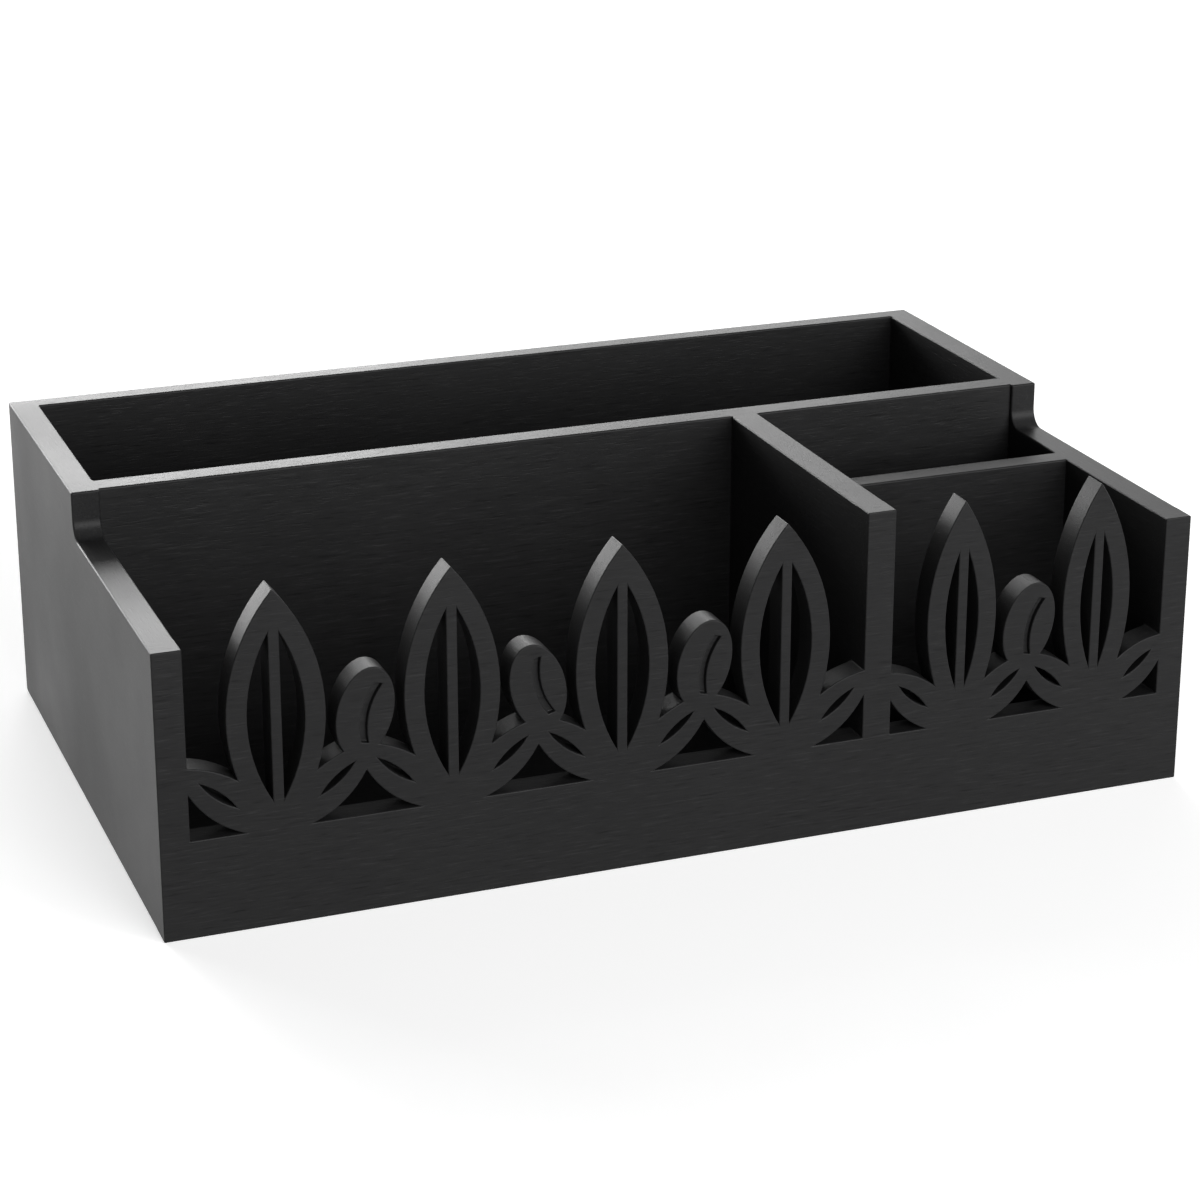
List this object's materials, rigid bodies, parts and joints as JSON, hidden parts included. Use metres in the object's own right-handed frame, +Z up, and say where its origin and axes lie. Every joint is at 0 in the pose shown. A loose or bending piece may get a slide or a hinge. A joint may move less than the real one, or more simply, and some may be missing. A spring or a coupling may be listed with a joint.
{
  "type": "coffee station organizer",
  "caption": "Open-topped countertop organizer in black painted wood: a long rear bay, a large front bay and two small front bays behind a pierced front board.",
  "frame": {"origin": "centre of the footprint, on the plane of the counter", "axes": "+X to the right along the long side, -Y towards the user at the pierced front board, +Z up"},
  "size_m": [0.32, 0.198, 0.1],
  "materials": {
    "black_paint": "satin black paint over wood, fine horizontal grain showing",
    "beech": "bare beech",
    "steel": "plain wire"
  },
  "bodies": {
    "root": {"left_side": "black_paint", "right_side": "black_paint", "back_panel": "black_paint", "bottom_board": "black_paint", "middle_partition": "black_paint", "bay_divider": "black_paint", "cross_divider": "black_paint", "front_fret_panel": "black_paint", "front_left_dowels": "beech", "front_right_dowels": "beech", "back_left_dowels": "beech", "back_right_dowels": "beech", "partition_left_dowels": "beech", "partition_right_dowels": "beech", "divider_front_dowels": "beech", "divider_rear_dowels": "beech", "cross_left_dowels": "beech", "cross_right_dowels": "beech", "bottom_pins": "steel"}
  },
  "joints": []
}
